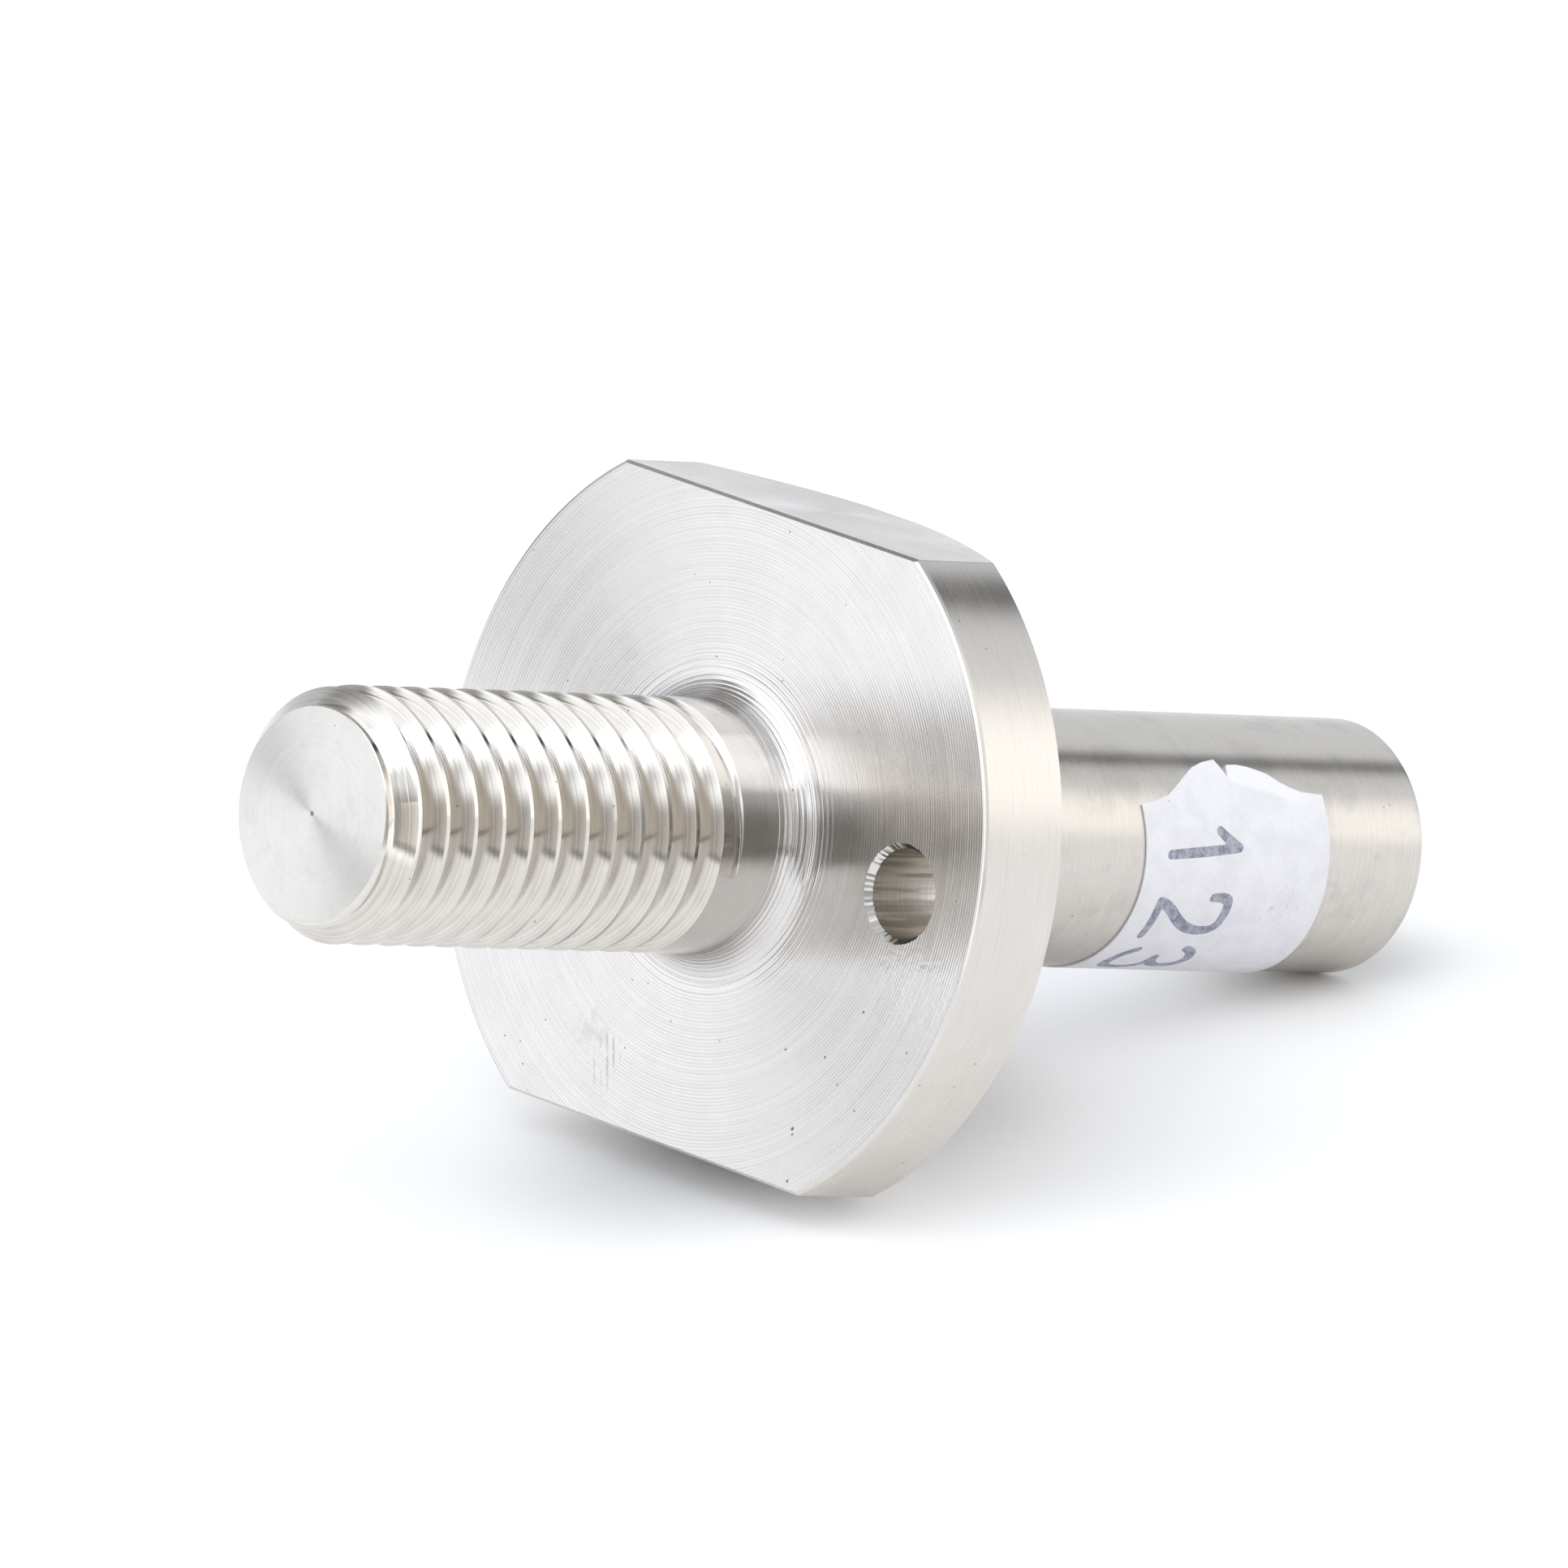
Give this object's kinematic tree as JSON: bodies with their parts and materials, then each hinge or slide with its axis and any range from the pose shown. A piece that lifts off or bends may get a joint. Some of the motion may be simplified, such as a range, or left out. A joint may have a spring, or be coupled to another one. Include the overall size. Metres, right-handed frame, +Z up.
{
  "type": "limit bolt",
  "caption": "Turned steel bolt: a right-hand threaded end, a round flange with flats and a small hole, and a plain shank with a torn paper label.",
  "frame": {"origin": "on the floor, under the centre of the bounding box, with the bolt lying as it rests", "axes": "+X level, from the threaded end to the shank's end; +Y to the side away from the small hole; +Z up. The bolt's axis dips 15.34 degrees below +X."},
  "size_m": [0.0666, 0.036, 0.031],
  "materials": {
    "bare_steel": "turned",
    "label_paper": "matte"
  },
  "bodies": {
    "root": {"limit_bolt": "bare_steel", "paper_label": "label_paper"}
  },
  "joints": []
}
